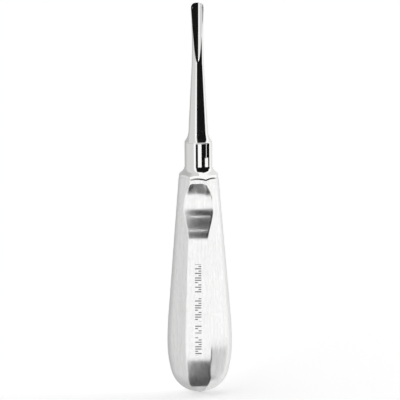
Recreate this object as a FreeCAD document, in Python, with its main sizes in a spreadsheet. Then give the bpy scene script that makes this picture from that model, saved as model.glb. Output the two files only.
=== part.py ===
import FreeCAD, Part
import math
import os
import Sketcher

# A straight dental elevator. A forged gouge, shank and tang is held by a flared ferrule in a hollow
# handle, which is welded up from two pressed half shells. The handle is eight-sided and pear-shaped.
# The tool stands along +Z with its blade up. The origin is the lowest point of the nub on the butt,
# and the thumb saddle and the blade's groove face -Y.

# The driving dimensions, in millimetres or degrees. Every height is measured from the butt's nub.
SIZES = [
    ("overall_length", 150.0, "nub to blade tip"),
    ("belly_half_width", 12.4, "axis to flat, at the widest place of the handle"),
    ("belly_height", 19.5, "height of the widest place"),
    ("belly_radius", 130.0, "lengthwise curve of a flat above the widest place"),
    ("butt_radius", 11.4, "lengthwise curve of a flat over the butt"),
    ("butt_gap", 0.3, "height of the shells' lowest point"),
    ("pole_flat", 1.2, "half width of the flat under the plug"),
    ("taper_top_height", 88.0, "height where the flats' straight taper is measured"),
    ("taper_top_half_width", 7.25, "axis to flat at that height"),
    ("edge_factor", 1.055, "radius of the round that breaks the eight edges, over the flats' half width"),
    ("wall", 1.0, "thickness of the pressed shells"),
    ("seam_height", 83.2, "joint between the shells and the ferrule"),
    ("saddle_height", 71.3, "middle of the thumb saddle"),
    ("saddle_length", 19.6, "length of the thumb saddle"),
    ("saddle_depth", 1.85, "depth of the saddle below the front flat"),
    ("vent_radius", 1.5, "hole in the butt that the plug closes"),
    ("plug_gap", 0.04, "clearance round the plug"),
    ("plug_height", 1.7, "top of the plug inside the handle"),
    ("nub_radius", 0.7, "nub under the plug"),
    ("collar_radius", 5.3, "cylindrical neck of the ferrule and rim of the shoulder"),
    ("collar_foot_height", 87.9, "height where the neck starts to flare"),
    ("flare_radius", 3.2, "hollow curve of the flare"),
    ("foot_radius", 8.6, "round of the flare's foot, before the flats are ground on it"),
    ("spigot_radius", 5.5, "part of the ferrule inside the handle's mouth"),
    ("spigot_end_height", 66.0, "lower end of the spigot"),
    ("shoulder_height", 96.6, "top of the ferrule, where the shoulder sits"),
    ("shoulder_rim", 0.35, "height of the shoulder's cylindrical rim"),
    ("shank_base_radius", 3.75, "shank above its fillet"),
    ("shank_base_height", 100.8, "height where the fillet runs out"),
    ("blade_root_radius", 2.28, "shank where the groove starts"),
    ("blade_root_height", 127.3, "height where the groove starts"),
    ("blade_waist_radius", 2.16, "narrowest part of the blade"),
    ("blade_waist_height", 137.0, "height of the narrowest part"),
    ("blade_radius", 2.4, "half width of the blade near its tip"),
    ("blade_shoulder_height", 148.4, "height where the tip starts to round"),
    ("tip_flat", 0.8, "half width of the straight part of the tip"),
    ("groove_radius", 2.8, "hollow of the gouge"),
    ("groove_tip_offset", 0.75, "bottom of the groove behind the axis, at the tip"),
    ("relief_start_height", 131.0, "height where the back of the blade starts to thin"),
    ("relief_tip_offset", 1.3, "back of the blade behind the axis, at the tip"),
    ("tang_radius", 2.5, "tang inside the ferrule"),
    ("tang_end_height", 50.5, "lower end of the tang"),
    ("braze_gap", 0.05, "gap round the tang, filled by brazing"),
    ("pin_radius", 1.0, "cross pin"),
    ("pin_height", 74.0, "height of the cross pin"),
    ("pin_length", 10.4, "length of the cross pin"),
    ("pin_gap", 0.03, "clearance round the cross pin"),
    ("disc_height", 50.0, "underside of the support disc"),
    ("disc_thickness", 2.0, "rim of the support disc"),
    ("disc_radius", 9.0, "rim of the support disc"),
    ("hub_radius", 4.2, "hub of the support disc"),
    ("hub_length", 6.0, "hub of the support disc"),
]

REACH = 40.0          # longer than any cut through the handle is wide
FLAT_ANGLES = (0.0, 45.0, 90.0, 135.0)
Z_AXIS = FreeCAD.Vector(0, 0, 1)
X_AXIS = FreeCAD.Vector(1, 0, 0)
ROOT_POINT = (-1, 1)
VERTICAL_AXIS = -2

doc = FreeCAD.newDocument("dental_elevator")


def make_sheet():
    """Write the driving dimensions into a spreadsheet, one alias to a row."""
    sheet = doc.addObject("Spreadsheet::Sheet", "sizes")
    for row, (alias, value, note) in enumerate(SIZES, start=1):
        sheet.set(f"A{row}", alias)
        sheet.set(f"B{row}", str(value))
        sheet.set(f"C{row}", note)
        sheet.setAlias(f"B{row}", alias)
    doc.recompute()
    return sheet


sizes = make_sheet()


def size(alias):
    """Return one driving dimension as a number."""
    return float(sizes.get(alias))


def value_of(expression):
    """Work out an expression in the sheet's aliases as a number."""
    return float(FreeCAD.Units.Quantity(sizes.evalExpression(expression)).Value)


def bind(target, **expressions):
    """Bind properties of an object to expressions in the sheet's aliases."""
    for prop, expression in expressions.items():
        target.setExpression(prop, expression)


# ---- sketch helpers

def new_sketch(body, name, role="XZ_Plane"):
    """Make a sketch on one of the body's own origin planes."""
    sketch = body.newObject("Sketcher::SketchObject", name)
    plane = next(f for f in body.Origin.OriginFeatures if f.Role == role)
    sketch.AttachmentSupport = [(plane, "")]
    sketch.MapMode = "FlatFace"
    return sketch


def draw_outline(sketch, start, steps):
    """Draw a closed outline of lines and arcs, its corners joined, and return their ends.

    A step is (end,) for a line or (end, centre, turn) for an arc, and turn is "ccw" or "cw".
    Each item returned is (geometry index, number of its first point, number of its last point).
    """
    edges = []
    here = FreeCAD.Vector(*start, 0)
    for step in steps:
        there = FreeCAD.Vector(*step[0], 0)
        if len(step) == 1:
            index = sketch.addGeometry(Part.LineSegment(here, there), False)
            edges.append((index, 1, 2))
        else:
            centre = FreeCAD.Vector(*step[1], 0)
            circle = Part.Circle(centre, Z_AXIS, (here - centre).Length)
            ends = [math.atan2(p.y - centre.y, p.x - centre.x) for p in (here, there)]
            first, last = ends if step[2] == "ccw" else reversed(ends)
            index = sketch.addGeometry(Part.ArcOfCircle(circle, first, last), False)
            edges.append((index, 1, 2) if step[2] == "ccw" else (index, 2, 1))
        here = there
    return edges


def join(sketch, edges, smooth=()):
    """Join each edge's end to the next one's start. Joints whose number is in smooth are tangent."""
    for number, edge in enumerate(edges):
        following = edges[(number + 1) % len(edges)]
        kind = "Tangent" if number in smooth else "Coincident"
        sketch.addConstraint(Sketcher.Constraint(kind, edge[0], edge[2], following[0], following[1]))


def place(sketch, edge, x=None, y=None):
    """Fix an edge's end point by expressions for its distances from the sketch's origin."""
    for kind, expression in (("DistanceX", x), ("DistanceY", y)):
        if expression is None:
            continue
        point = sketch.getPoint(edge[0], edge[2])
        value = point.x if kind == "DistanceX" else point.y
        index = sketch.addConstraint(Sketcher.Constraint(kind, *ROOT_POINT, edge[0], edge[2], value))
        sketch.setExpression(f"Constraints[{index}]", expression)


def set_radius(sketch, edge, expression):
    """Bind an arc's radius to an expression."""
    value = sketch.Geometry[edge[0]].Radius
    index = sketch.addConstraint(Sketcher.Constraint("Radius", edge[0], value))
    sketch.setExpression(f"Constraints[{index}]", expression)


def on_axis(sketch, edge):
    """Keep an edge's end point on the sketch's vertical axis."""
    sketch.addConstraint(Sketcher.Constraint("PointOnObject", edge[0], edge[2], VERTICAL_AXIS))


# ---- the pear outline of one flat, seen edge on

def pear_sketch(body, name, inset="0", factor="1"):
    """Half of the pear outline: butt arc, two belly arcs and the straight taper.

    The outline is set in by inset on all sides, and its widths are multiplied by factor. Both are
    expressions in the sheet's aliases.
    """
    shrink = value_of(inset)
    grow = value_of(factor)
    butt = size("butt_radius") * grow - shrink
    belly = size("belly_half_width") * grow - shrink
    top = size("taper_top_half_width") * grow - shrink
    curve = size("belly_radius") - shrink
    flat = size("pole_flat")
    low = size("butt_gap") + shrink
    wide = size("belly_height")
    high = size("taper_top_height")

    butt_centre = (0.0, low + butt)
    rise = wide - butt_centre[1]
    lower_radius = (belly ** 2 + rise ** 2 - butt ** 2) / (2 * (belly - butt))
    lower_centre = (belly - lower_radius, wide)
    reach = math.hypot(lower_centre[0], rise)
    butt_top = (-lower_centre[0] / reach * butt, butt_centre[1] - rise / reach * butt)
    butt_start = (flat, butt_centre[1] - math.sqrt(butt ** 2 - flat ** 2))
    upper_centre = (belly - curve, wide)
    span = math.hypot(top - upper_centre[0], high - wide)
    turn = math.atan2(high - wide, top - upper_centre[0]) - math.acos(curve / span)
    taper_start = (upper_centre[0] + curve * math.cos(turn), wide + curve * math.sin(turn))

    sketch = new_sketch(body, name)
    edges = draw_outline(sketch, (0.0, butt_start[1]), [
        (butt_start,),
        (butt_top, butt_centre, "ccw"),
        ((belly, wide), lower_centre, "ccw"),
        (taper_start, upper_centre, "ccw"),
        ((top, high),),
        ((0.0, high),),
        ((0.0, butt_start[1]),),
    ])
    bottom, butt_arc, lower_arc, upper_arc, taper, lid, axis = edges
    join(sketch, edges, smooth=(1, 2, 3))
    sketch.addConstraint(Sketcher.Constraint("Horizontal", bottom[0]))
    sketch.addConstraint(Sketcher.Constraint("Horizontal", lid[0]))
    on_axis(sketch, lid)
    on_axis(sketch, axis)
    on_axis(sketch, (butt_arc[0], 3, 3))
    place(sketch, bottom, x="sizes.pole_flat")
    set_radius(sketch, butt_arc, f"sizes.butt_radius * {factor} - {inset}")
    place(sketch, (butt_arc[0], 3, 3), y=f"sizes.butt_gap + sizes.butt_radius * {factor}")
    place(sketch, lower_arc, x=f"sizes.belly_half_width * {factor} - {inset}", y="sizes.belly_height")
    place(sketch, (lower_arc[0], 3, 3), y="sizes.belly_height")
    set_radius(sketch, upper_arc, f"sizes.belly_radius - {inset}")
    place(sketch, taper, x=f"sizes.taper_top_half_width * {factor} - {inset}", y="sizes.taper_top_height")
    return sketch


def pear_prism(name, angle, inset="0"):
    """One pair of opposite flats: the pear outline, padded both ways and turned about Z."""
    body = doc.addObject("PartDesign::Body", name)
    pad = body.newObject("PartDesign::Pad", f"{name}_pad")
    pad.Profile = pear_sketch(body, f"{name}_outline", inset)
    pad.Midplane = True
    pad.Length = REACH
    mirrored = body.newObject("PartDesign::Mirrored", f"{name}_other_side")
    plane = next(f for f in body.Origin.OriginFeatures if f.Role == "YZ_Plane")
    mirrored.Originals = [pad]
    mirrored.MirrorPlane = (plane, [""])
    body.Tip = mirrored
    body.Placement = FreeCAD.Placement(FreeCAD.Vector(), FreeCAD.Rotation(Z_AXIS, angle))
    return body


def revolved(name, sketch_maker):
    """A body turned about Z from the half outline that sketch_maker draws."""
    body = doc.addObject("PartDesign::Body", name)
    turn = body.newObject("PartDesign::Revolution", f"{name}_turned")
    sketch = sketch_maker(body, f"{name}_outline")
    turn.Profile = sketch
    turn.ReferenceAxis = (sketch, ["V_Axis"])
    turn.Angle = 360.0
    body.Tip = turn
    return body


def cylinder(name, radius, height, placement):
    """A Part cylinder whose radius and height are expressions."""
    tool = doc.addObject("Part::Cylinder", name)
    bind(tool, Radius=radius, Height=height)
    tool.Placement = placement
    return tool


def box(name, low, high):
    """A Part box between two corners."""
    tool = doc.addObject("Part::Box", name)
    tool.Length = high[0] - low[0]
    tool.Width = high[1] - low[1]
    tool.Height = high[2] - low[2]
    tool.Placement = FreeCAD.Placement(FreeCAD.Vector(*low), FreeCAD.Rotation())
    return tool


def cut(name, base, tool):
    """Take one shape out of another."""
    result = doc.addObject("Part::Cut", name)
    result.Base = base
    result.Tool = tool
    return result


def common(name, shapes):
    """Keep only what all the shapes share."""
    result = doc.addObject("Part::MultiCommon", name)
    result.Shapes = shapes
    return result


def fuse(name, shapes):
    """Join shapes into one."""
    result = doc.addObject("Part::MultiFuse", name)
    result.Shapes = shapes
    return result


# ---- the handle

def flat_half_width(height):
    """Axis to flat at a height on the straight taper."""
    slope = math.tan(taper_angle())
    return size("taper_top_half_width") + (size("taper_top_height") - height) * slope


def taper_angle():
    """Lean of the flats against the axis, in radians, where they run straight."""
    radius = size("belly_radius")
    across = size("taper_top_half_width") - size("belly_half_width") + radius
    up = size("taper_top_height") - size("belly_height")
    return math.atan2(up, across) - math.acos(radius / math.hypot(across, up))


def saddle_cutter(name, grow):
    """The round, laid across the front flat, that hollows the thumb saddle. grow is an expression."""
    half = size("saddle_length") / 2 / math.cos(taper_angle())
    depth = size("saddle_depth")
    radius = (half ** 2 + depth ** 2) / (2 * depth)
    lean = taper_angle()
    out = radius - depth
    middle = size("saddle_height")
    centre = FreeCAD.Vector(
        -REACH / 2,
        -flat_half_width(middle) - out * math.cos(lean),
        middle + out * math.sin(lean),
    )
    along_x = FreeCAD.Rotation(Z_AXIS, X_AXIS)
    return cylinder(name, f"{radius} mm + {grow}", f"{REACH} mm", FreeCAD.Placement(centre, along_x))


def make_octagon(name, inset="0"):
    """The pear with eight flats: four pairs of opposite flats, crossed."""
    return [pear_prism(f"{name}_flats_{int(angle)}", angle, inset) for angle in FLAT_ANGLES]


def make_handle():
    """Make both half shells. They meet face to face in the XZ plane, where the weld runs."""
    def round_pear(body, name):
        return pear_sketch(body, name, factor="sizes.edge_factor")

    rounding = revolved("edge_rounding", round_pear)
    flats = make_octagon("outer")
    pear = common("handle_pear", flats + [rounding])
    blank = cut("handle_blank", pear, saddle_cutter("saddle", "0 mm"))
    hollow = cut("handle_hollow", common("hollow_pear", make_octagon("inner", "sizes.wall")),
                 saddle_cutter("saddle_inside", "sizes.wall * 1 mm"))
    vent = cylinder("vent", "sizes.vent_radius", f"{REACH} mm",
                    FreeCAD.Placement(FreeCAD.Vector(0, 0, -REACH / 2), FreeCAD.Rotation()))
    skin = cut("handle_skin", blank, fuse("handle_inside", [hollow, vent]))
    for label, low, high in (("handle_front_shell", -REACH / 2, 0.0), ("handle_rear_shell", 0.0, REACH / 2)):
        half = box(f"{label}_half", (-REACH / 2, low, 0.0), (REACH / 2, high, size("seam_height")))
        common(label, [skin, half]).Label = label
    return flats + [rounding]


# ---- the ferrule

def ferrule_sketch(body, name):
    """Half outline of the ferrule: bore, neck, hollow flare, foot and spigot."""
    neck = size("collar_radius")
    bend = size("flare_radius")
    rim = size("foot_radius")
    foot = size("collar_foot_height")
    seam = size("seam_height")
    top = size("shoulder_height")
    bore = size("tang_radius") + size("braze_gap")
    spigot = size("spigot_radius")
    end = size("spigot_end_height")
    centre = (neck + bend, foot)
    turn = math.atan2(seam - foot, rim - centre[0])
    turn -= math.acos(bend / math.hypot(rim - centre[0], seam - foot))
    flare_end = (centre[0] + bend * math.cos(turn), foot + bend * math.sin(turn))
    sketch = new_sketch(body, name)
    edges = draw_outline(sketch, (bore, end), [
        ((spigot, end),),
        ((spigot, seam),),
        ((rim, seam),),
        (flare_end,),
        ((neck, foot), centre, "cw"),
        ((neck, top),),
        ((bore, top),),
        ((bore, end),),
    ])
    spigot_end, spigot_side, underside, skirt, flare, neck_side, lid, bore_side = edges
    join(sketch, edges, smooth=(3, 4))
    for edge in (spigot_end, underside, lid):
        sketch.addConstraint(Sketcher.Constraint("Horizontal", edge[0]))
    for edge in (spigot_side, neck_side, bore_side):
        sketch.addConstraint(Sketcher.Constraint("Vertical", edge[0]))
    place(sketch, spigot_end, x="sizes.spigot_radius", y="sizes.spigot_end_height")
    place(sketch, spigot_side, y="sizes.seam_height")
    place(sketch, underside, x="sizes.foot_radius")
    place(sketch, flare, x="sizes.collar_radius", y="sizes.collar_foot_height")
    set_radius(sketch, flare, "sizes.flare_radius")
    place(sketch, lid, x="sizes.tang_radius + sizes.braze_gap", y="sizes.shoulder_height")
    return sketch


def cross_pin_hole(name, grow):
    """The round along X through the neck for the cross pin, grown by a clearance expression."""
    start = FreeCAD.Vector(-REACH / 2, 0, size("pin_height"))
    return cylinder(name, f"sizes.pin_radius + {grow}", f"{REACH} mm",
                    FreeCAD.Placement(start, FreeCAD.Rotation(Z_AXIS, X_AXIS)))


def make_ferrule(flats):
    """Turn the ferrule, grind its foot flush with the handle's flats and drill it for the pin."""
    turned = revolved("ferrule_blank", ferrule_sketch)
    neck_clear = box("above_flats", (-REACH / 2, -REACH / 2, size("taper_top_height")),
                     (REACH / 2, REACH / 2, size("overall_length")))
    foot = common("ferrule_foot", [turned] + flats)
    neck = common("ferrule_neck", [turned, neck_clear])
    hole = cross_pin_hole("ferrule_pin_hole", "sizes.pin_gap")
    cut("neck_ferrule", fuse("ferrule_ground", [foot, neck]), hole).Label = "neck_ferrule"


# ---- the working end

def working_end_sketch(body, name):
    """Half outline of the tang, shoulder, fillet, shank and the round that the blade is cut from."""
    tang = size("tang_radius")
    rim = size("collar_radius")
    rim_top = size("shoulder_height") + size("shoulder_rim")
    base = (size("shank_base_radius"), size("shank_base_height"))
    root = (size("blade_root_radius"), size("blade_root_height"))
    lean = math.atan2(base[0] - root[0], root[1] - base[1])
    across = FreeCAD.Vector(math.cos(lean), math.sin(lean), 0)
    gap = FreeCAD.Vector(rim - base[0], rim_top - base[1], 0)
    radius = gap.Length ** 2 / (2 * gap.dot(across))
    centre = (base[0] + radius * across.x, base[1] + radius * across.y)
    blade = size("blade_radius")
    corner = size("overall_length") - size("blade_shoulder_height")
    sketch = new_sketch(body, name)
    edges = draw_outline(sketch, (0.0, size("tang_end_height")), [
        ((tang, size("tang_end_height")),),
        ((tang, size("shoulder_height")),),
        ((rim, size("shoulder_height")),),
        ((rim, rim_top),),
        (base, centre, "cw"),
        (root,),
        ((size("blade_waist_radius"), size("blade_waist_height")),),
        ((blade, size("blade_shoulder_height")),),
        ((blade - corner, size("overall_length")), (blade - corner, size("blade_shoulder_height")), "ccw"),
        ((0.0, size("overall_length")),),
        ((0.0, size("tang_end_height")),),
    ])
    tang_end, tang_side, shoulder, rim_side, fillet, shank, waist, flank, corner_arc, tip, axis = edges
    join(sketch, edges, smooth=(4,))
    for edge in (tang_end, shoulder, tip):
        sketch.addConstraint(Sketcher.Constraint("Horizontal", edge[0]))
    for edge in (tang_side, rim_side, axis):
        sketch.addConstraint(Sketcher.Constraint("Vertical", edge[0]))
    on_axis(sketch, axis)
    place(sketch, tang_end, x="sizes.tang_radius", y="sizes.tang_end_height")
    place(sketch, shoulder, x="sizes.collar_radius", y="sizes.shoulder_height")
    place(sketch, rim_side, y="sizes.shoulder_height + sizes.shoulder_rim")
    place(sketch, fillet, x="sizes.shank_base_radius", y="sizes.shank_base_height")
    place(sketch, shank, x="sizes.blade_root_radius", y="sizes.blade_root_height")
    place(sketch, waist, x="sizes.blade_waist_radius", y="sizes.blade_waist_height")
    place(sketch, flank, x="sizes.blade_radius", y="sizes.blade_shoulder_height")
    place(sketch, corner_arc, x="sizes.tip_flat", y="sizes.overall_length")
    set_radius(sketch, corner_arc, "sizes.overall_length - sizes.blade_shoulder_height")
    return sketch


def leaning_cylinder(name, radius, low, high, edge_side):
    """A cylinder whose rearmost line runs from low to high, each a (y, z) point.

    edge_side says how far it runs past both ends.
    """
    lean = math.atan2(high[0] - low[0], high[1] - low[1])
    along = FreeCAD.Vector(0, math.sin(lean), math.cos(lean))
    inward = FreeCAD.Vector(0, -math.cos(lean), math.sin(lean))
    start = FreeCAD.Vector(0, *low) + inward * size(radius) - along * edge_side
    length = math.hypot(high[0] - low[0], high[1] - low[1]) + 2 * edge_side
    turn = FreeCAD.Rotation(X_AXIS, -math.degrees(lean))
    return cylinder(name, f"sizes.{radius}", f"{length} mm", FreeCAD.Placement(start, turn))


def make_working_end():
    """Turn the forging, hollow the gouge, thin its back towards the tip and drill the tang."""
    turned = revolved("working_end_blank", working_end_sketch)
    tip = size("overall_length")
    root = size("blade_root_height")
    groove = leaning_cylinder("groove", "groove_radius", (-size("blade_root_radius"), root),
                              (size("groove_tip_offset"), tip), 8.0)
    start = size("relief_start_height")
    kept = leaning_cylinder("blade_back", "blade_radius", (size("blade_radius"), start),
                            (size("relief_tip_offset"), tip), 1.0)
    behind = box("behind_blade", (-REACH / 2, 0.0, start), (REACH / 2, REACH / 2, tip))
    relief = cut("blade_relief", behind, kept)
    tools = fuse("working_end_cuts", [groove, relief, cross_pin_hole("tang_pin_hole", "sizes.pin_gap")])
    cut("working_end", turned, tools).Label = "working_end"


# ---- the small inner pieces and the plug

def stepped_sketch(corners):
    """A maker of half outlines whose corners are pairs of expressions, all lines square."""
    def make(body, name):
        sketch = new_sketch(body, name)
        points = [tuple(value_of(text) for text in corner) for corner in corners]
        edges = draw_outline(sketch, points[-1], [(point,) for point in points])
        join(sketch, edges)
        for edge, (x, y) in zip(edges, corners):
            if x == "0":
                on_axis(sketch, edge)
                place(sketch, edge, y=y)
            else:
                place(sketch, edge, x=x, y=y)
        return sketch
    return make


def make_cross_pin():
    """A plain dowel along X."""
    start = FreeCAD.Vector(-size("pin_length") / 2, 0, size("pin_height"))
    pin = cylinder("tang_cross_pin", "sizes.pin_radius", "sizes.pin_length",
                   FreeCAD.Placement(start, FreeCAD.Rotation(Z_AXIS, X_AXIS)))
    pin.Label = "tang_cross_pin"


def make_support_disc():
    """A turned disc with a hub round the end of the tang."""
    bore = "sizes.tang_radius + sizes.braze_gap"
    hub_top = "sizes.disc_height + sizes.hub_length"
    rim_top = "sizes.disc_height + sizes.disc_thickness"
    disc = revolved("tang_support_disc", stepped_sketch([
        ("sizes.disc_radius", "sizes.disc_height"),
        ("sizes.disc_radius", rim_top),
        ("sizes.hub_radius", rim_top),
        ("sizes.hub_radius", hub_top),
        (bore, hub_top),
        (bore, "sizes.disc_height"),
    ]))
    disc.Label = "tang_support_disc"


def make_butt_plug():
    """The plug in the vent hole, with the small nub that is left under it."""
    stem = "sizes.vent_radius - sizes.plug_gap"
    plug = revolved("butt_plug", stepped_sketch([
        ("sizes.nub_radius", "0"),
        ("sizes.nub_radius", "sizes.butt_gap"),
        (stem, "sizes.butt_gap"),
        (stem, "sizes.plug_height"),
        ("0", "sizes.plug_height"),
        ("0", "0"),
    ]))
    plug.Label = "butt_plug"


# ---- check and write

NODES = [
    "working_end", "neck_ferrule", "tang_cross_pin", "tang_support_disc",
    "handle_front_shell", "handle_rear_shell", "butt_plug",
]


def check_document():
    """Stop if any object failed or any named piece is not one valid solid."""
    for item in doc.Objects:
        if "Invalid" in item.State or "Error" in item.State:
            raise RuntimeError(f"{item.Name} failed: {item.State}")
    for label in NODES:
        shape = doc.getObjectsByLabel(label)[0].Shape
        if shape.isNull() or not shape.isValid() or len(shape.Solids) != 1:
            raise RuntimeError(f"{label} is not one valid solid")
        low, high = shape.BoundBox.ZMin, shape.BoundBox.ZMax
        print(f"{label}: {shape.Volume:.1f} mm3, z {low:.2f} to {high:.2f}")


def export_nodes():
    """Write one STEP file for each named piece."""
    os.makedirs("parts", exist_ok=True)
    for label in NODES:
        doc.getObjectsByLabel(label)[0].Shape.exportStep(f"parts/{label}.step")


make_ferrule(make_handle())
make_working_end()
make_cross_pin()
make_support_disc()
make_butt_plug()
doc.recompute()
check_document()
export_nodes()
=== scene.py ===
# %% [markdown]
# A straight dental elevator, all stainless steel. A forged gouge with a mirror-polished shank stands
# in a turned, flared ferrule, and the ferrule closes a hollow handle made of two pressed shells.
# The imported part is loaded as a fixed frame, and every new piece is placed from its boxes.

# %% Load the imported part
import math

import bpy
import numpy as np
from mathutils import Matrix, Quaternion, Vector


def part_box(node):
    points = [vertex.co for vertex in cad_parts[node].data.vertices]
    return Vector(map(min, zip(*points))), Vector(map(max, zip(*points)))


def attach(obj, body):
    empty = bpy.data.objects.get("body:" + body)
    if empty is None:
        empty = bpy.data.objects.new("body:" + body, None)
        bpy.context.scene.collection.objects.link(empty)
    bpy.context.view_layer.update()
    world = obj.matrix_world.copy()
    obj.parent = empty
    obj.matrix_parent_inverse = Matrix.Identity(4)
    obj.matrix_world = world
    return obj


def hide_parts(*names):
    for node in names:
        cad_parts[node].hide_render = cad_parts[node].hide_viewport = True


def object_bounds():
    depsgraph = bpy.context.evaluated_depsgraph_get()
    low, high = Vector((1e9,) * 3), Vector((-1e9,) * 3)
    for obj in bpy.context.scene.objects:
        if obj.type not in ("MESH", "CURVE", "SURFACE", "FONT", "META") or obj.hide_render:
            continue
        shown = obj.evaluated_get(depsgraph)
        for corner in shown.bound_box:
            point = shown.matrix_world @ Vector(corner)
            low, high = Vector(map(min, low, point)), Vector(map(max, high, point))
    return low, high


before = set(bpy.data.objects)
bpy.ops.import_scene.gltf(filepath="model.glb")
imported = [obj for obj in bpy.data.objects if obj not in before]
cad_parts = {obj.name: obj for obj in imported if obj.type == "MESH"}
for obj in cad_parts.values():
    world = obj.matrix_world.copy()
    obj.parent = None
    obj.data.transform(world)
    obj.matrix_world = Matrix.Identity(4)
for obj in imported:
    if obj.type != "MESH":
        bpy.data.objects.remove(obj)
cad_low, cad_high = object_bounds()
print("CAD box in mm:", [round(1000 * v, 2) for v in (*cad_low, *cad_high)])

# %% [markdown]
# Sizes are in millimetres, because that is how an instrument maker thinks of them, and meshes are
# scaled to metres when they are made. What the frame can tell is read from the frame: the heights of
# the seam, shoulder and tip, and the neck's radius. The curves between them are named here.

# %% Read the sizes that the frame gives
MM = 0.001


def millimetres(node):
    """Lowest and highest corner of a CAD node, as two arrays in millimetres."""
    low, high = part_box(node)
    return np.array(low) / MM, np.array(high) / MM


_, shell_high = millimetres("handle_front_shell")
ferrule_low, ferrule_high = millimetres("neck_ferrule")
end_low, end_high = millimetres("working_end")
_, plug_high = millimetres("butt_plug")

BELLY_HALF_WIDTH = shell_high[0]
SEAM_HEIGHT = shell_high[2]
SPIGOT_END = ferrule_low[2]
SHOULDER_HEIGHT = ferrule_high[2]
TANG_END = end_low[2]
TIP_HEIGHT = end_high[2]
NECK_RADIUS = end_high[0]
print("belly", BELLY_HALF_WIDTH, "seam", SEAM_HEIGHT, "shoulder", SHOULDER_HEIGHT, "tip", TIP_HEIGHT)

# %% [markdown]
# A mesh is made from arrays of points and faces in one go. The faces of a closed shell must point
# outwards, and the sign of its volume tells whether they do: if it is negative, every face is turned
# round. Edges sharper than a set angle are marked sharp, and everything else is shaded smooth.

# %% Helpers that turn arrays into closed, smooth-shaded pieces


def signed_volume(points, faces):
    """Sum of the tetrahedra from the origin to each triangle. It is positive if faces point outwards."""
    corners = points[faces]
    fans = [corners[:, [0, k, k + 1]] for k in range(1, faces.shape[1] - 1)]
    return sum(np.einsum("ij,ij->i", t[:, 0], np.cross(t[:, 1], t[:, 2])).sum() for t in fans) / 6


def piece(name, points, quads, triangles, node, sharp_degrees=35):
    """Make a closed mesh from points in millimetres, and let it stand for a CAD node."""
    volume = signed_volume(points, quads)
    if len(triangles):
        volume += signed_volume(points, triangles)
    if volume < 0:
        quads = quads[:, ::-1]
        triangles = triangles[:, ::-1]
    mesh = bpy.data.meshes.new(name)
    mesh.from_pydata((points * MM).tolist(), [], quads.tolist() + triangles.tolist())
    mesh.validate()
    mesh.shade_smooth()
    mesh.set_sharp_from_angle(angle=math.radians(sharp_degrees))
    made = bpy.data.objects.new(name, mesh)
    bpy.context.scene.collection.objects.link(made)
    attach(made, "root")
    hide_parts(node)
    print(f"{name}: {len(mesh.vertices)} points, {len(mesh.polygons)} faces, {abs(volume):.0f} mm3")
    return made


def grid_quads(rows, columns, wrap_rows=False, wrap_columns=False):
    """Faces of a grid, numbered row by row. A wrapped side joins its last points to its first."""
    i = np.arange(rows if wrap_rows else rows - 1)[:, None]
    j = np.arange(columns if wrap_columns else columns - 1)[None, :]
    down = (i + 1) % rows
    across = (j + 1) % columns
    corners = [i * columns + j, down * columns + j, down * columns + across, i * columns + across]
    return np.stack(np.broadcast_arrays(*corners), axis=-1).reshape(-1, 4)


NO_TRIANGLES = np.zeros((0, 3), int)

# %% [markdown]
# The handle's outline is a pear. Seen edge on, each of its eight flats follows the same curve: a round
# butt, two arcs through the belly, and then a straight taper to the neck. Each arc is tangent to the
# next, so the centres of the two lower ones lie on one line, and their radii follow from that.

# %% The pear curve of one flat
BUTT_RADIUS = 11.4
BUTT_GAP = 0.3
BELLY_HEIGHT = 19.5
BELLY_RADIUS = 130.0
TAPER_TOP_HEIGHT = 88.0
TAPER_TOP_HALF_WIDTH = 7.25
WALL = 1.0

butt_centre = BUTT_GAP + BUTT_RADIUS
rise = BELLY_HEIGHT - butt_centre
LOWER_RADIUS = ((BELLY_HALF_WIDTH ** 2 + rise ** 2 - BUTT_RADIUS ** 2)
                / (2 * (BELLY_HALF_WIDTH - BUTT_RADIUS)))
lower_centre = BELLY_HALF_WIDTH - LOWER_RADIUS
BUTT_TOP = butt_centre - rise / math.hypot(lower_centre, rise) * BUTT_RADIUS
upper_centre = BELLY_HALF_WIDTH - BELLY_RADIUS
taper_across = TAPER_TOP_HALF_WIDTH - upper_centre
taper_up = TAPER_TOP_HEIGHT - BELLY_HEIGHT
taper_reach = math.hypot(taper_across, taper_up)
TAPER_ANGLE = math.atan2(taper_up, taper_across) - math.acos(BELLY_RADIUS / taper_reach)
TAPER_START = BELLY_HEIGHT + BELLY_RADIUS * math.sin(TAPER_ANGLE)


def pear_half_width(z, inset=0.0):
    """Axis to flat at height z: two circles and a third about their centres, then a straight line.

    The inner face of the wall is the same curve with every radius less by inset.
    """
    butt = np.sqrt(np.clip((BUTT_RADIUS - inset) ** 2 - (z - butt_centre) ** 2, 0, None))
    lower = lower_centre + np.sqrt((LOWER_RADIUS - inset) ** 2 - (z - BELLY_HEIGHT) ** 2)
    upper = upper_centre + np.sqrt((BELLY_RADIUS - inset) ** 2 - (z - BELLY_HEIGHT) ** 2)
    taper = TAPER_TOP_HALF_WIDTH + (TAPER_TOP_HEIGHT - z) * math.tan(TAPER_ANGLE) - inset
    return np.select([z < BUTT_TOP, z < BELLY_HEIGHT, z < TAPER_START], [butt, lower, upper], taper)


print("butt arc ends at", round(BUTT_TOP, 2), "and the taper starts at", round(TAPER_START, 2))

# %% [markdown]
# The thumb saddle is a hollow ground across the front flat. Its upper side is a parabola that starts
# with a crisp, slightly arched edge, and its lower side runs out softly. The eight flats are blended
# with a power mean: with a high power the section is an octagon whose corners are just broken. The
# edges of the front and rear flats are crisp, and the side ones are softer, because the shells are
# drawn deepest there.

# %% The saddle and the rounded octagon
SADDLE_DEEPEST = 72.5
SADDLE_TOP = 81.7
SADDLE_HALF_WIDTH = 3.9
SADDLE_ARCH = 0.45
SADDLE_END = 59.8
SADDLE_DEPTH = 1.85
CRISP_POWER = 90.0
SOFT_POWER = 14.0
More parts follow.
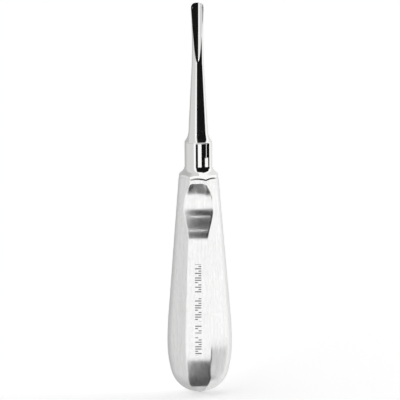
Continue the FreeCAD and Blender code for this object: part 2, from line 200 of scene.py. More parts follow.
# The crisp power holds in the front and rear quarters, where the sine of phi is smaller than this.
QUARTER_SINE = math.sqrt(0.5)
# A flat counts only where the cosine of the ray's turn from its normal is more than this.
LEAST_FACING = 0.6
CROWN_RADIUS = 75.0


def saddle_depth(x, z):
    """Depth of the saddle: a parabola above its deepest place, and half a cosine wave below it.

    Towards the edges of the flat a sixth power takes the parabola's top corners off, so the
    upper edge is an arch.
    """
    share = (z - SADDLE_DEEPEST) / (SADDLE_TOP - SADDLE_DEEPEST)
    corner = SADDLE_ARCH * np.clip(x / SADDLE_HALF_WIDTH, -1, 1) ** 4
    above = 1 - share ** 2 - corner * share ** 6
    below = 0.5 + 0.5 * np.cos(math.pi * (SADDLE_DEEPEST - z) / (SADDLE_DEEPEST - SADDLE_END))
    depth = np.where(z > SADDLE_DEEPEST, above, below)
    return SADDLE_DEPTH * np.where(z > SADDLE_END, np.clip(depth, 0, None), 0)


def handle_radius(phi, z, inset=0.0):
    """Axis to skin in the direction phi, measured from the front (-Y) towards +X.

    A flat at half width w cuts the ray at w / cos(turn), where turn is the ray's angle from the
    flat's normal, and its slight crown drops away with the square of w * tan(turn). The nearest flat
    counts, and a power mean of the eight cuts rounds the edges between them.
    """
    width = pear_half_width(z, inset)
    power = np.where(np.abs(np.sin(phi)) < QUARTER_SINE, CRISP_POWER, SOFT_POWER)
    total = np.zeros(np.broadcast(phi, z).shape)
    for flat in range(8):
        turn = phi - flat * math.pi / 4
        facing = np.clip(np.cos(turn), LEAST_FACING, None)
        across = width * np.sqrt(1 / facing ** 2 - 1)
        reach = width - saddle_depth(across, z) if flat == 0 else width
        crowned = reach - across ** 2 / (2 * CROWN_RADIUS)
        total = total + np.where(np.cos(turn) > LEAST_FACING, facing / crowned, 0) ** power
    return total ** (-1 / power)


def around(phi, radius, z):
    """Points at an angle from the front, a radius and a height."""
    return np.stack(np.broadcast_arrays(radius * np.sin(phi), -radius * np.cos(phi), z), axis=-1)


print("radius over a flat and over an edge at the belly:",
      handle_radius(0.0, BELLY_HEIGHT).round(2), handle_radius(math.pi / 8, BELLY_HEIGHT).round(2))

# %% [markdown]
# The ferrule is turned: a straight round neck, a hollow arc and a short cone that flares out to the
# handle. Its foot is then ground flush with the handle's flats, which leaves an arch over each flat,
# because the middle of a flat is nearer to the axis than its edges are. The joint follows the arches
# a little lower down. Both lines are found first, since the ferrule and the shells end on the joint.

# %% The flare and the scalloped joint line
FLARE_START = 87.9
FLARE_RADIUS = 3.2
FOOT_RADIUS = 9.05
JOINT_DROP = 0.9
FOOT_SHARE = 0.988
HALVINGS = 30

flare_centre = np.array([NECK_RADIUS + FLARE_RADIUS, FLARE_START])
foot_point = np.array([FOOT_RADIUS, SEAM_HEIGHT])
to_foot = foot_point - flare_centre
flare_turn = math.atan2(to_foot[1], to_foot[0]) - math.acos(FLARE_RADIUS / np.hypot(*to_foot))
flare_end = flare_centre + FLARE_RADIUS * np.array([math.cos(flare_turn), math.sin(flare_turn)])


def flare_radius(z):
    """Radius of the ferrule's outside: cone below the arc's end, arc, then the straight neck."""
    cone = FOOT_RADIUS + (z - SEAM_HEIGHT) * (flare_end[0] - FOOT_RADIUS) / (flare_end[1] - SEAM_HEIGHT)
    drop = np.clip(FLARE_START - z, 0, FLARE_RADIUS)
    arc = flare_centre[0] - np.sqrt(FLARE_RADIUS ** 2 - drop ** 2)
    return np.where(z < flare_end[1], cone, arc)


def foot_radius(phi, z):
    """Radius of the finished foot: the turned flare, or the handle's flats where they are nearer."""
    return np.minimum(flare_radius(z), FOOT_SHARE * handle_radius(phi, z))


def arch_height(phi):
    """Where the cone comes out of the flats: the height of equal radius, found by halving."""
    low = np.full(np.shape(phi), SEAM_HEIGHT - 1.0)
    high = np.full(np.shape(phi), FLARE_START)
    for _ in range(HALVINGS):
        middle = (low + high) / 2
        outside = flare_radius(middle) > FOOT_SHARE * handle_radius(phi, middle)
        low = np.where(outside, middle, low)
        high = np.where(outside, high, middle)
    return low


def joint_height(phi):
    """The joint follows the arches at a fixed drop."""
    return arch_height(phi) - JOINT_DROP


print("joint over a flat and over an edge:", joint_height(np.array([0.0, math.pi / 8])).round(2))

# %% [markdown]
# Each shell is a closed sheet of metal: an outer and an inner skin, joined along the mouth, round the
# vent in the butt and along the weld. Every column of its grid is one loop: up the outside, over the
# mouth and down the inside. The two end columns lie in the weld's plane and are closed by a strip.
# The outside of the mouth has a small bevel, which makes the joint show as a thin dark line.

# %% Build the two handle shells
SHELL_COLUMNS = 181
BUTT_ROWS = 40
BODY_ROWS = 150
MOUTH_ROWS = 8
MOUTH_START = SADDLE_TOP
MOUTH_BEVEL_HEIGHT = 0.6
MOUTH_BEVEL_DEPTH = 0.27
BEVEL_EDGE = 0.02
VENT_RADIUS = 1.5


def shell_heights(phi, inset):
    """Heights of one skin's rows: even turns round the butt, even steps up the body, then the mouth."""
    radius = BUTT_RADIUS - inset
    first = math.asin(VENT_RADIUS / radius)
    last = math.acos((butt_centre - BUTT_TOP) / radius)
    butt = butt_centre - radius * np.cos(np.linspace(first, last, BUTT_ROWS))
    body = np.linspace(butt[-1], MOUTH_START, BODY_ROWS)[1:]
    rows = np.concatenate([butt, body])
    joint = joint_height(phi)
    bevel = joint - MOUTH_BEVEL_HEIGHT
    mouth = np.linspace(0, 1, MOUTH_ROWS)[1:, None] * (bevel - MOUTH_START) + MOUTH_START
    below = np.repeat(rows[:, None], len(phi), axis=1)
    return np.concatenate([below, mouth, bevel[None, :] + BEVEL_EDGE, joint[None, :]])


def handle_shell(name, first_angle):
    """Half of the handle, from first_angle through a half turn: two skins and the strips between."""
    phi = first_angle + np.linspace(0, math.pi, SHELL_COLUMNS)
    skins = []
    for inset in (0.0, WALL):
        z = shell_heights(phi, inset)
        radius = handle_radius(phi[None, :], z, inset)
        if inset == 0:
            radius[-1] -= MOUTH_BEVEL_DEPTH
        skins.append(around(phi[None, :], radius, z))
    outer, inner = skins
    loop = np.concatenate([outer, inner[::-1]])
    rows, columns = loop.shape[:2]
    quads = grid_quads(rows, columns, wrap_rows=True)
    up = np.arange(len(outer) - 1)
    strip = np.stack([up, up + 1, rows - 2 - up, rows - 1 - up], axis=-1) * columns
    ends = np.concatenate([strip, strip[:, ::-1] + columns - 1])
    return piece(name, loop.reshape(-1, 3), np.concatenate([quads, ends]), NO_TRIANGLES,
                 name.replace("_skin", "_shell"))


front_shell = handle_shell("handle_front_skin", -math.pi / 2)
rear_shell = handle_shell("handle_rear_skin", math.pi / 2)

# %% [markdown]
# The ferrule is one loop carried round the axis: down the neck and the flare to the joint line, in
# under the foot, down the spigot, and up the bore. Rows lie on the arches and on the joint line, so
# the edge where the cone comes out of the flats stays crisp.

# %% Build the ferrule
RING_COLUMNS = 256
SPIGOT_RADIUS = 5.5
BORE_RADIUS = 2.55
NECK_ROWS = 12
FLARE_ROWS = 50
FOOT_ROWS = 6
RIM_BREAK = 0.12
SEAM_GROOVE = 0.12


def ferrule():
    """Rows of the ferrule's loop, as (radius, height) arrays over the angle."""
    phi = np.linspace(0, 2 * math.pi, RING_COLUMNS, endpoint=False)
    same = np.ones_like(phi)
    arch, joint = arch_height(phi), joint_height(phi)
    rows = [(BORE_RADIUS * same, SHOULDER_HEIGHT * same),
            ((NECK_RADIUS - RIM_BREAK) * same, SHOULDER_HEIGHT * same),
            (NECK_RADIUS * same, (SHOULDER_HEIGHT - RIM_BREAK) * same)]
    rows += [(NECK_RADIUS * same, z * same)
             for z in np.linspace(SHOULDER_HEIGHT - RIM_BREAK, FLARE_START, NECK_ROWS)[1:]]
    for share in np.linspace(0, 1, FLARE_ROWS)[1:]:
        z = FLARE_START + share * (arch - FLARE_START)
        rows.append((flare_radius(z), z))
    for share in np.linspace(0, 1, FOOT_ROWS)[1:]:
        z = arch + share * (joint - arch)
        rows.append((foot_radius(phi, z), z))
    rows += [(foot_radius(phi, joint) - SEAM_GROOVE, joint - SEAM_GROOVE),
             (SPIGOT_RADIUS * same, MOUTH_START * same),
             (SPIGOT_RADIUS * same, SPIGOT_END * same),
             (BORE_RADIUS * same, SPIGOT_END * same)]
    grid = np.stack([around(phi, radius, z) for radius, z in rows])
    quads = grid_quads(*grid.shape[:2], wrap_rows=True, wrap_columns=True)
    return piece("neck_collar", grid.reshape(-1, 3), quads, NO_TRIANGLES,
                 "neck_ferrule")


collar = ferrule()

# %% [markdown]
# The working end is a stack of sections. Below the blade each is a circle. In the blade, the front of
# the circle is hollowed by the round of the gouge, which leans so that it comes out of the shank at the
# root, and the back is thinned towards the tip. Columns of the grid follow the two lips, so they stay
# crisp lines from the root to the tip.

# %% The sections of the forging
BLADE_ROOT = (2.28, 127.3)
BLADE_WAIST = (2.16, 137.0)
BLADE_SHOULDER = (2.4, 148.4)
SHANK_BASE = (3.75, 100.8)
SHOULDER_RIM = 0.35
TANG_RADIUS = 2.5
GROOVE_RADIUS = 2.8
GROOVE_TIP_OFFSET = 0.75
RELIEF_START = 131.0
RELIEF_TIP_OFFSET = 1.3
EDGE_THICKNESS = 0.03

rim_top = SHOULDER_HEIGHT + SHOULDER_RIM
shank_lean = math.atan2(SHANK_BASE[0] - BLADE_ROOT[0], BLADE_ROOT[1] - SHANK_BASE[1])
fillet_gap = np.array([NECK_RADIUS - SHANK_BASE[0], rim_top - SHANK_BASE[1]])
fillet_across = np.array([math.cos(shank_lean), math.sin(shank_lean)])
FILLET_RADIUS = fillet_gap @ fillet_gap / (2 * fillet_gap @ fillet_across)
fillet_centre = np.array(SHANK_BASE) + FILLET_RADIUS * fillet_across


def forging_radius(z):
    """Outer radius at height z: a hollow fillet, straight tapers between named places, a round tip."""
    squared = FILLET_RADIUS ** 2 - (z - fillet_centre[1]) ** 2
    fillet = fillet_centre[0] - np.sqrt(np.clip(squared, 0, None))
    places = np.array([SHANK_BASE, BLADE_ROOT, BLADE_WAIST, BLADE_SHOULDER])
    tapers = np.interp(z, places[:, 1], places[:, 0])
    corner = TIP_HEIGHT - BLADE_SHOULDER[1]
    up = np.clip(z - BLADE_SHOULDER[1], 0, corner)
    tip = BLADE_SHOULDER[0] - corner + np.sqrt(corner ** 2 - up ** 2)
    return np.select([z < SHANK_BASE[1], z > BLADE_SHOULDER[1]], [fillet, tip], tapers)


def groove_bottom(z):
    """How far behind the axis the groove's deepest line lies. It leans in a straight line."""
    share = (z - BLADE_ROOT[1]) / (TIP_HEIGHT - BLADE_ROOT[1])
    return -BLADE_ROOT[0] + share * (GROOVE_TIP_OFFSET + BLADE_ROOT[0])


def back_shift(z):
    """How far the round of the blade's back is moved forward to thin the blade."""
    share = np.clip((z - RELIEF_START) / (TIP_HEIGHT - RELIEF_START), 0, 1)
    return share * (BLADE_SHOULDER[0] - RELIEF_TIP_OFFSET)


def lip_angle(z):
    """Half the groove's angle, seen from the axis, from where its circle crosses the outer one."""
    radius = forging_radius(z)
    centre = groove_bottom(z) - GROOVE_RADIUS
    y = (GROOVE_RADIUS ** 2 - radius ** 2 - centre ** 2) / (-2 * centre)
    return np.arccos(np.clip(-y / radius, -1, 1))


# %% [markdown]
# The forging could be cut out of a turned bar with booleans, but that leaves ragged lips and uneven
# shading. As one grid of sections it stays a single closed skin, and its rows lie closer together in
# the blade and round the tip, where it curves most. Two fans of triangles close the ends.

# %% Build the working end
LIP_COLUMNS = 48
FLANK_COLUMNS = 24
BACK_COLUMNS = 96
FILLET_ROWS = 24
SHANK_ROWS = 40
BLADE_ROWS = 110
TIP_ROWS = 24
SMALLEST_LIP = math.radians(3)
LARGEST_LIP = math.radians(86)


def section_columns(z):
    """Angles from the front of one section's points: groove, right flank, back and left flank."""
    lip = np.where(z > BLADE_ROOT[1], lip_angle(z), 0)
    lip = np.clip(lip, SMALLEST_LIP, LARGEST_LIP)[:, None]
    quarter = math.pi / 2
    groove = np.linspace(-1, 1, LIP_COLUMNS)[None, :] * lip
    right = lip + np.linspace(0, 1, FLANK_COLUMNS)[None, 1:] * (quarter - lip)
    back = quarter + np.linspace(0, math.pi, BACK_COLUMNS)[None, 1:] * np.ones_like(lip)
    left = -right[:, ::-1][:, 1:]
    return np.concatenate([groove, right, back, left], axis=1)


def working_end_points(z):
    """Sections at heights z. The front is the rearmost of circle and groove, the back is thinned."""
    phi = section_columns(z)
    height = z[:, None]
    radius = forging_radius(height)
    x = radius * np.sin(phi)
    y = -radius * np.cos(phi)
    rear_width = BLADE_SHOULDER[0]
    rear = np.sqrt(np.clip(rear_width ** 2 - x ** 2, 0, None)) - back_shift(height)
    thinned = np.minimum(np.abs(y), np.where(height > RELIEF_START, rear, np.inf))
    groove_round = np.sqrt(np.clip(GROOVE_RADIUS ** 2 - x ** 2, 0, None))
    hollow = groove_bottom(height) - GROOVE_RADIUS + groove_round
    carved = np.minimum(np.maximum(y, hollow), thinned - EDGE_THICKNESS)
    in_blade = (height > BLADE_ROOT[1]) & (np.abs(x) < GROOVE_RADIUS)
    y = np.where(np.cos(phi) > 0, np.where(in_blade, carved, y), thinned)
    return np.stack(np.broadcast_arrays(x, y, height), axis=-1)


def working_end():
    """Tang, shoulder, shank and blade as one closed stack of sections."""
    corner = TIP_HEIGHT - BLADE_SHOULDER[1]
    heights = np.concatenate([
        np.linspace(rim_top, SHANK_BASE[1], FILLET_ROWS),
        np.linspace(SHANK_BASE[1], BLADE_ROOT[1], SHANK_ROWS)[1:],
        np.linspace(BLADE_ROOT[1], BLADE_SHOULDER[1], BLADE_ROWS)[1:],
        BLADE_SHOULDER[1] + corner * np.sin(np.linspace(0, math.pi / 2, TIP_ROWS)[1:]),
    ])
    body = working_end_points(heights)
    phi = section_columns(heights[:1])[0]
    below = [(TANG_RADIUS, TANG_END), (TANG_RADIUS, SHOULDER_HEIGHT),
             (NECK_RADIUS - RIM_BREAK, SHOULDER_HEIGHT), (NECK_RADIUS, SHOULDER_HEIGHT + RIM_BREAK)]
    foot = np.stack([around(phi, radius, z) for radius, z in below])
    grid = np.concatenate([foot, body])
    rows, columns = grid.shape[:2]
    quads = grid_quads(rows, columns, wrap_columns=True)
    ends = grid[[0, -1]].mean(axis=1)
    j = np.arange(columns)
    after = (j + 1) % columns
    last = (rows - 1) * columns
    low_cap = np.stack([np.full(columns, rows * columns), j, after], axis=-1)
    high_cap = np.stack([last + j, np.full(columns, rows * columns + 1), last + after], axis=-1)
    points = np.concatenate([grid.reshape(-1, 3), ends])
    return piece("blade_and_shank", points, quads, np.concatenate([low_cap, high_cap]),
                 "working_end", sharp_degrees=28)


blade = working_end()

# %% [markdown]
# The plug closes the vent that lets gas out while the shells are welded. It is ground flush with the
# butt, and only a small nub is left in the middle. It is turned about the axis, so it is a lathe
# shape: rings of points between two poles, each pole closed by a fan of triangles.

# %% Build the butt plug
PLUG_RADIUS = plug_high[0]
NUB_RADIUS = 0.7
FACE_START = 0.75
FACE_ROWS = 6
NUB_ROWS = 10


def lathe(name, profile, node, columns=96):
    """Turn a list of (radius, height) that starts and ends on the axis."""
    profile = np.array(profile)
    phi = np.linspace(0, 2 * math.pi, columns, endpoint=False)
    rings = around(phi[None, :], profile[1:-1, :1], profile[1:-1, 1:])
    count = rings.shape[0] * columns
    poles = np.array([[0, 0, profile[0, 1]], [0, 0, profile[-1, 1]]])
    j = np.arange(columns)
    after = (j + 1) % columns
    top = count - columns
    first_fan = np.stack([np.full(columns, count), j, after], axis=-1)
    last_fan = np.stack([top + j, np.full(columns, count + 1), top + after], axis=-1)
    return piece(name, np.concatenate([rings.reshape(-1, 3), poles]),
                 grid_quads(rings.shape[0], columns, wrap_columns=True),
                 np.concatenate([first_fan, last_fan]), node)


turn = np.linspace(0, math.pi / 2, NUB_ROWS)
nub = [(NUB_RADIUS * math.sin(a), BUTT_GAP * (1 - math.cos(a))) for a in turn]
face = [(r, butt_centre - math.sqrt(BUTT_RADIUS ** 2 - r ** 2))
        for r in np.linspace(FACE_START, PLUG_RADIUS, FACE_ROWS)]
plug = lathe("butt_plug_ground", nub + face + [(PLUG_RADIUS, plug_high[2]), (0.0, plug_high[2])],
             "butt_plug")

# %% [markdown]
# All the metal is the same steel, and only its finish differs. The metal's shader is kept simple: a
# metallic base, a roughness that wanders a little, and a bump. What tells satin from mirror is the
# roughness and the bump's grain.

# %% Node helpers


def new_material(name):
    """A material with its Principled shader, and the shader's node tree."""
    made = bpy.data.materials.new(name)
    made.use_nodes = True
    tree = made.node_tree
    return made, tree, tree.nodes["Principled BSDF"]


def link(tree, source, target):
    """Join an output socket to an input socket."""
    tree.links.new(source, target)


def noise(tree, scale, stretch=(1, 1, 1), detail=2.0):
    """Noise in object space. scale is in cycles per metre, and stretch multiplies it along each axis."""
    coordinates = tree.nodes.new("ShaderNodeTexCoord")
    mapping = tree.nodes.new("ShaderNodeMapping")
    mapping.inputs["Scale"].default_value = stretch
    texture = tree.nodes.new("ShaderNodeTexNoise")
    texture.inputs["Scale"].default_value = scale
    texture.inputs["Detail"].default_value = detail
    link(tree, coordinates.outputs["Object"], mapping.inputs["Vector"])
    link(tree, mapping.outputs["Vector"], texture.inputs["Vector"])
    return texture.outputs["Fac"]


def remap(tree, source, low, high, to_low, to_high, smooth=False):
    """Map a value from one range to another, and clamp it."""
    node = tree.nodes.new("ShaderNodeMapRange")
    if smooth:
        node.interpolation_type = "SMOOTHSTEP"
    for name, value in (("From Min", low), ("From Max", high), ("To Min", to_low), ("To Max", to_high)):
        node.inputs[name].default_value = value
    link(tree, source, node.inputs["Value"])
    return node.outputs["Result"]


def math_node(tree, operation, first, second=0.0):
    """One Math node. Each operand is a socket or a number."""
    node = tree.nodes.new("ShaderNodeMath")
    node.operation = operation
    for socket, value in zip(node.inputs, (first, second)):
        if isinstance(value, (int, float)):
            socket.default_value = value
        else:
            link(tree, value, socket)
    return node.outputs["Value"]


def bump(tree, height, strength, distance):
    """A Bump node's normal, from a height socket."""
    node = tree.nodes.new("ShaderNodeBump")
    node.inputs["Strength"].default_value = strength
    node.inputs["Distance"].default_value = distance
    link(tree, height, node.inputs["Height"])
    return node.outputs["Normal"]


# %% [markdown]
# The shank and the ferrule are polished to a mirror on a soft wheel. The wheel leaves a faint haze and
# a very low ripple along the tool, and no more. Dark stripes could be painted on the metal, but they
# would stay put when the tool is turned, so everything else that shows is left to the room.

# %% Mirror-polished steel
POLISHED_TONE = (0.86, 0.86, 0.85, 1)
RIPPLE_HEIGHT = 0.00002


def polished_steel(name, roughness):
    """Mirror steel: faint polishing haze in the roughness, and a very low, wide ripple."""
    made, tree, shader = new_material(name)
    shader.inputs["Base Color"].default_value = POLISHED_TONE
    shader.inputs["Metallic"].default_value = 1.0
    haze = noise(tree, 900, (1, 1, 0.2), detail=3.0)
    hazy = remap(tree, haze, 0.35, 0.7, roughness * 0.6, roughness * 1.6)
    link(tree, hazy, shader.inputs["Roughness"])
    ripple = noise(tree, 260, (1, 1, 0.3))
    link(tree, bump(tree, ripple, 0.05, RIPPLE_HEIGHT), shader.inputs["Normal"])
    return made


for made, roughness in ((blade, 0.05), (collar, 0.045)):
    made.data.materials.append(polished_steel(f"{made.name}_polish", roughness))
print("polished:", blade.name, collar.name)

# %% [markdown]
# On the real tool a laser has darkened a line of small characters on the front flat. Here the line is
# only a pattern, which says nothing: long and short bars, in groups. It is drawn in the material,
# because a laser mark has no depth.

# %% The etched pattern
MARK_GROUPS = [(16.2, 23.2), (24.7, 27.8), (29.3, 38.1), (40.0, 51.0)]
MARK_HALF_WIDTH = 1.2
CELL_PITCH = 1.75
STROKE = 0.42
BAR_START = 0.1
HALF_BAR_GAP = 0.15
BAR_SOFTNESS = 0.04
EVEN_CHANCE = 0.5


def rising(tree, value, limit, soft):
    """0 below a limit and 1 above it, with a soft step."""
    return remap(tree, value, limit - soft, limit + soft, 0, 1, True)


def falling(tree, value, limit, soft):
    """1 below a limit and 0 above it, with a soft step."""
    return remap(tree, value, limit - soft, limit + soft, 1, 0, True)


def inside(tree, value, low, high):
    """1 where a value is between two limits."""
    return math_node(tree, "MULTIPLY", rising(tree, value, low, BAR_SOFTNESS),
                     falling(tree, value, high, BAR_SOFTNESS))


def etched_mark(tree):
    """1 where the laser has darkened the flat. A cell is two bars, and chance halves either."""
    coordinates = tree.nodes.new("ShaderNodeTexCoord")
    parts = tree.nodes.new("ShaderNodeSeparateXYZ")
    link(tree, coordinates.outputs["Object"], parts.inputs["Vector"])
    x = math_node(tree, "MULTIPLY", parts.outputs["X"], 1 / MM)
    z = math_node(tree, "MULTIPLY", parts.outputs["Z"], 1 / MM)
    along = math_node(tree, "DIVIDE", z, CELL_PITCH)
    cell = math_node(tree, "FLOOR", along)
    within = math_node(tree, "MULTIPLY", math_node(tree, "SUBTRACT", along, cell), CELL_PITCH)
    chance = tree.nodes.new("ShaderNodeTexWhiteNoise")
    chance.noise_dimensions = "1D"
    link(tree, cell, chance.inputs["W"])
    whole = inside(tree, x, -MARK_HALF_WIDTH, MARK_HALF_WIDTH)
    bars = ((BAR_START, -MARK_HALF_WIDTH, -HALF_BAR_GAP, "LESS_THAN"),
            (BAR_START + CELL_PITCH / 2, HALF_BAR_GAP, MARK_HALF_WIDTH, "GREATER_THAN"))
    mask = 0.0
    for start, half_low, half_high, test in bars:
        drawn = math_node(tree, test, chance.outputs["Value"], EVEN_CHANCE)
        full = math_node(tree, "MULTIPLY", whole, drawn)
        span = math_node(tree, "MAXIMUM", full, inside(tree, x, half_low, half_high))
        bar = math_node(tree, "MULTIPLY", inside(tree, within, start, start + STROKE), span)
        mask = math_node(tree, "MAXIMUM", bar, mask)
    groups = 0.0
    for low, high in MARK_GROUPS:
        groups = math_node(tree, "MAXIMUM", inside(tree, z, low, high), groups)
    front = math_node(tree, "LESS_THAN", parts.outputs["Y"], 0.0)
    return math_node(tree, "MULTIPLY", math_node(tree, "MULTIPLY", mask, groups), front)


# %% [markdown]
# The handle is brushed lengthwise, so its reflections are drawn out sideways and stay crisp up and
# down. An anisotropic shader with its tangent round the axis gives that. The grooves of the brushing
# scatter a little light in every direction, which a metallic value just below 1 stands for.

# %% Satin steel, brushed along the handle
SATIN_METALLIC = 0.94
SATIN_ANISOTROPY = 0.85
MARK_TONE = 0.22
GRAIN_HEIGHT = 0.00002


def satin_steel(name, marked):
    """Satin steel: fine grooves along Z in the bump, and streaks in the roughness and the tone."""
    made, tree, shader = new_material(name)
    shader.inputs["Metallic"].default_value = SATIN_METALLIC
    grain = noise(tree, 7000, (1, 1, 0.02), detail=3.0)
    streaks = noise(tree, 1500, (1, 1, 0.03), detail=2.0)
    clouds = noise(tree, 120, (1, 1, 0.5), detail=3.0)
    mottle = noise(tree, 1300, (1, 1, 0.4), detail=4.0)
    tone = math_node(tree, "MULTIPLY", remap(tree, streaks, 0.3, 0.7, 0.87, 0.94),
                     remap(tree, mottle, 0.3, 0.7, 0.93, 1.0))
    if marked:
        mask = etched_mark(tree)
        tone = math_node(tree, "MULTIPLY", tone, remap(tree, mask, 0, 1, 1.0, MARK_TONE))
    colour = tree.nodes.new("ShaderNodeCombineColor")
    for channel, share in (("Red", 1.0), ("Green", 1.0), ("Blue", 0.995)):
        link(tree, math_node(tree, "MULTIPLY", tone, share), colour.inputs[channel])
    link(tree, colour.outputs["Color"], shader.inputs["Base Color"])
    wander = math_node(tree, "ADD", remap(tree, clouds, 0.3, 0.7, 0.0, 0.05),
                       remap(tree, streaks, 0.3, 0.7, 0.15, 0.20))
    link(tree, wander, shader.inputs["Roughness"])
    round_axis = tree.nodes.new("ShaderNodeTangent")
    round_axis.direction_type = "RADIAL"
    round_axis.axis = "Z"
    link(tree, round_axis.outputs["Tangent"], shader.inputs["Tangent"])
    shader.inputs["Anisotropic"].default_value = SATIN_ANISOTROPY
    link(tree, bump(tree, grain, 0.2, GRAIN_HEIGHT), shader.inputs["Normal"])
    return made


front_shell.data.materials.append(satin_steel("satin_front", marked=True))
rear_shell.data.materials.append(satin_steel("satin_rear", marked=False))
plug.data.materials.append(satin_steel("satin_plug", marked=False))

# %% [markdown]
# The cross pin and the support disc stay as they came from the lathe, because nobody sees them. New
# meshes would add nothing, so they are shown as the CAD made them, and only get a material.

# %% As-turned steel for the two pieces inside the handle
TURNED_TONE = (0.62, 0.62, 0.61, 1)
RING_HEIGHT = 0.00003


def turned_steel():
    """Turned steel: fine rings round the axis, from noise that changes fast along Z only."""
    made, tree, shader = new_material("turned_steel")
    shader.inputs["Metallic"].default_value = 1.0
    shader.inputs["Base Color"].default_value = TURNED_TONE
    rings = noise(tree, 4000, (0.05, 0.05, 1))
    link(tree, remap(tree, rings, 0.3, 0.7, 0.28, 0.42), shader.inputs["Roughness"])
    link(tree, bump(tree, rings, 0.3, RING_HEIGHT), shader.inputs["Normal"])
    return made


inner_steel = turned_steel()
for node in ("tang_cross_pin", "tang_support_disc"):
    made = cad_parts[node]
    made.data.materials.clear()
    made.data.materials.append(inner_steel)
print("inner pieces:", inner_steel.name)

# %% [markdown]
# Polished steel has no look of its own: it shows the room. The room here is a white light tent. Its
# left wall is greyer, and in front of the tool a bright strip at table height lies between a dark
# ceiling and a dark table. It is painted on the world by direction. Only reflections see it: to the
# camera the tent is plain.

# %% The light tent
TENT_LEVEL = 1.12
# Name, azimuth from, to and softness, elevation from, to and softness in degrees, and level.
# Azimuth 0 is the camera's side (-Y), 90 is +X, and a limit of None is open.
PANELS = [
    ("left_wall", None, -36, 3, None, None, 3, 0.76),
    ("rear_left", None, -115, 12, None, None, 3, 0.56),
    ("rear_right", 125, None, 12, None, None, 3, 0.88),
    ("right_low", 62, 108, 10, -62, -10, 3, 0.70),
    ("right_border", 28, 60, 4, -27, -10, 1, 0.08),
    ("left_upper", None, -112, 12, 18, 78, 6, 0.52),
    ("dark_ceiling", -16, 96, 5, 7, 74, 2, 0.012),
]
# The dark table's edges, each as its distance over the drop to the table, and the edges' softness.
TABLE_FRONT = (2.25, 0.1)
TABLE_BACK = (-0.21, 0.04)
TABLE_LEFT = (-0.40, 0.35)
TABLE_RIGHT = (1.1, 0.2)
TABLE_LEVEL = 0.04
LEAST_DROP = 0.001


def mixed(tree, level, mask, brightness):
    """The level, moved to a new brightness where the mask is 1."""
    change = math_node(tree, "MULTIPLY", mask, math_node(tree, "SUBTRACT", brightness, level))
    return math_node(tree, "ADD", level, change)


def panel_mask(tree, azimuth, elevation, panel):
    """1 in the directions that lie between a panel's limits."""
    _, az_low, az_high, az_soft, el_low, el_high, el_soft, _ = panel
    limits = ((azimuth, az_low, az_soft, rising), (azimuth, az_high, az_soft, falling),
              (elevation, el_low, el_soft, rising), (elevation, el_high, el_soft, falling))
    mask = 1.0
    for value, limit, soft, step in limits:
        if limit is not None:
            edge = step(tree, value, math.radians(limit), math.radians(soft))
            mask = math_node(tree, "MULTIPLY", edge, mask)
    return mask


def table_mask(tree, forward, sideways, upward):
    """1 where a ray that goes down meets the dark table. Where it lands is distance over drop."""
    down = math_node(tree, "MAXIMUM", math_node(tree, "MULTIPLY", upward, -1.0), LEAST_DROP)
    ahead = math_node(tree, "DIVIDE", forward, down)
    aside = math_node(tree, "DIVIDE", sideways, down)
    mask = falling(tree, ahead, *TABLE_FRONT)
    for value, edge, step in ((ahead, TABLE_BACK, rising), (aside, TABLE_LEFT, rising),
                              (aside, TABLE_RIGHT, falling)):
        mask = math_node(tree, "MULTIPLY", mask, step(tree, value, *edge))
    return mask


def paint_tent():
    """Mix each panel and then the table over the plain tent, by the direction that is looked in."""
    world = bpy.data.worlds.new("light_tent")
    bpy.context.scene.world = world
    world.use_nodes = True
    tree = world.node_tree
    background = tree.nodes["Background"]
    coordinates = tree.nodes.new("ShaderNodeTexCoord")
    parts = tree.nodes.new("ShaderNodeSeparateXYZ")
    link(tree, coordinates.outputs["Generated"], parts.inputs["Vector"])
    sideways, backward, upward = (parts.outputs[axis] for axis in "XYZ")
    forward = math_node(tree, "MULTIPLY", backward, -1.0)
    azimuth = math_node(tree, "ARCTAN2", sideways, forward)
    elevation = math_node(tree, "ARCSINE", upward)
    level = math_node(tree, "ADD", TENT_LEVEL, 0.0)
    for panel in PANELS:
        level = mixed(tree, level, panel_mask(tree, azimuth, elevation, panel), panel[-1])
    level = mixed(tree, level, table_mask(tree, forward, sideways, upward), TABLE_LEVEL)
    seen = tree.nodes.new("ShaderNodeLightPath").outputs["Is Camera Ray"]
    link(tree, mixed(tree, level, seen, TENT_LEVEL), background.inputs["Strength"])
    background.inputs["Color"].default_value = (1, 1, 1, 1)


paint_tent()
print(len(PANELS), "panels in the tent")

# %% [markdown]
# In an all-white room the edges of polished metal get lost, so black cards, or flags, are put close
# to it. They could be painted on the world too, but a near card moves over the metal in another way
# than a far wall does. Here they are parts of upright cylinders round the tool, seen by reflections
# only. The far one draws the long black stripe of the shank, and the near ones frame the windows in
# the neck. A lit gap in the cloth shows as a thin light line in the saddle's dark band.

# %% The black flags
# Name, distance from the axis, azimuth from and to in degrees, height from and to, in millimetres.
FLAGS = [
    ("shank_flag", 250, -15, 96, 106, 300),
    ("shank_foot_flag", 60, -15, 94, 97, 150),
    ("neck_flag_left", 25, -17.5, -1, 85.2, 93.8),
    ("neck_flag_middle", 25, 25, 53, 85.2, 93.8),
    ("neck_flag_upper", 25, 53, 63, 88.3, 93.8),
    ("neck_flag_upper_right", 25, 67, 84, 88.3, 93.8),
    ("neck_flag_right", 25, 82, 97, 85.2, 93.8),
]
GAP = ("gap_in_the_cloth", 249, -24, 10, 158.8, 162.8)
GAP_LEVEL = 2.4
CARD_COLUMNS = 24


def only_in_reflections(made):
    """Hide a piece of the stage from everything but reflections."""
    made.visible_camera = False
    made.visible_diffuse = False
    made.visible_shadow = False
    made.visible_transmission = False
    made.visible_volume_scatter = False


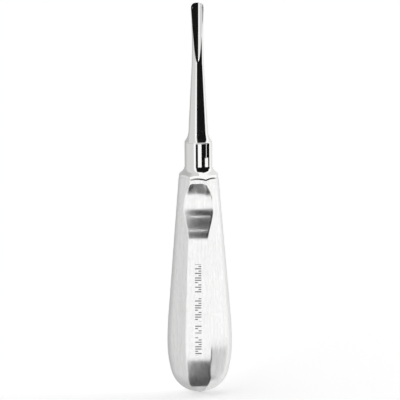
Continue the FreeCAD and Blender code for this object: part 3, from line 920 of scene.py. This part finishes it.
def flag(name, distance, az_low, az_high, low, high, cloth):
    """A curved card: part of an upright cylinder round the tool's axis."""
    phi = np.radians(np.linspace(az_low, az_high, CARD_COLUMNS))
    grid = np.stack([around(phi, float(distance), float(z)) for z in (low, high)])
    mesh = bpy.data.meshes.new(name)
    mesh.from_pydata((grid.reshape(-1, 3) * MM).tolist(), [], grid_quads(2, len(phi)).tolist())
    made = bpy.data.objects.new(name, mesh)
    bpy.context.scene.collection.objects.link(made)
    mesh.materials.append(cloth)
    only_in_reflections(made)


black_cloth, _, cloth_shader = new_material("black_cloth")
cloth_shader.inputs["Base Color"].default_value = (0.01, 0.01, 0.01, 1)
cloth_shader.inputs["Roughness"].default_value = 1.0
cloth_shader.inputs["Specular IOR Level"].default_value = 0.0
for row in FLAGS:
    flag(*row, black_cloth)
lit_gap, _, gap_shader = new_material("lit_gap")
gap_shader.inputs["Emission Color"].default_value = (1, 1, 1, 1)
gap_shader.inputs["Emission Strength"].default_value = GAP_LEVEL
flag(*GAP, lit_gap)
print(len(FLAGS), "flags and one lit gap")

# %% [markdown]
# The floor is a plain pale disc that reaches past the edge of every view. It could be a curved
# backdrop, but a disc looks the same from all sides. It glows a little, so that it is as white as the
# tent and only the soft shadow under the butt shows.

# %% The floor
FLOOR_RADIUS = 6.0
FLOOR_GLOW = 0.45
FLOOR_CORNERS = 64


def floor():
    """A wide, plain, pale disc at the height of the nub."""
    phi = np.linspace(0, 2 * math.pi, FLOOR_CORNERS, endpoint=False)
    rim = np.stack([FLOOR_RADIUS * np.cos(phi), FLOOR_RADIUS * np.sin(phi), np.zeros_like(phi)], axis=-1)
    mesh = bpy.data.meshes.new("floor")
    mesh.from_pydata(rim.tolist(), [], [list(range(len(phi)))])
    made = bpy.data.objects.new("floor", mesh)
    bpy.context.scene.collection.objects.link(made)
    surface, _, shader = new_material("pale_floor")
    shader.inputs["Base Color"].default_value = (0.95, 0.95, 0.95, 1)
    shader.inputs["Roughness"].default_value = 0.9
    shader.inputs["Specular IOR Level"].default_value = 0.1
    shader.inputs["Emission Color"].default_value = (1, 1, 1, 1)
    shader.inputs["Emission Strength"].default_value = FLOOR_GLOW
    mesh.materials.append(surface)
    made.visible_glossy = False


floor()
print("floor radius in m:", FLOOR_RADIUS)

# %% [markdown]
# The camera looks at the middle of the tool from the front and a little from above, with a long lens,
# and it is rolled by less than half a degree, because the tool leans that much.

# %% The camera
CAMERA_DISTANCE = 2.5
CAMERA_AZIMUTH = math.radians(2.4)
CAMERA_ELEVATION = math.radians(8.0)
FRAME_HEIGHT = 0.1527
LEAN = math.radians(0.41)
ASIDE = 0.00048
BELOW = 0.0007
SENSOR = 36.0


def camera():
    """A perspective camera on a sphere round a point just beside the middle of the CAD box."""
    data = bpy.data.cameras.new("camera")
    made = bpy.data.objects.new("camera", data)
    bpy.context.scene.collection.objects.link(made)
    target = Vector((ASIDE, 0.0, (cad_low[2] + cad_high[2]) / 2 - BELOW))
    flat = CAMERA_DISTANCE * math.cos(CAMERA_ELEVATION)
    away = Vector((flat * math.sin(CAMERA_AZIMUTH), -flat * math.cos(CAMERA_AZIMUTH),
                   CAMERA_DISTANCE * math.sin(CAMERA_ELEVATION)))
    made.location = target + away
    made.rotation_mode = "QUATERNION"
    made.rotation_quaternion = (-away).to_track_quat("-Z", "Y") @ Quaternion((0, 0, 1), -LEAN)
    data.sensor_width = SENSOR
    data.lens = SENSOR * CAMERA_DISTANCE / FRAME_HEIGHT
    bpy.context.scene.camera = made
    return made


view = camera()
bpy.context.scene.view_settings.view_transform = "Standard"
print("lens in mm:", round(view.data.lens))
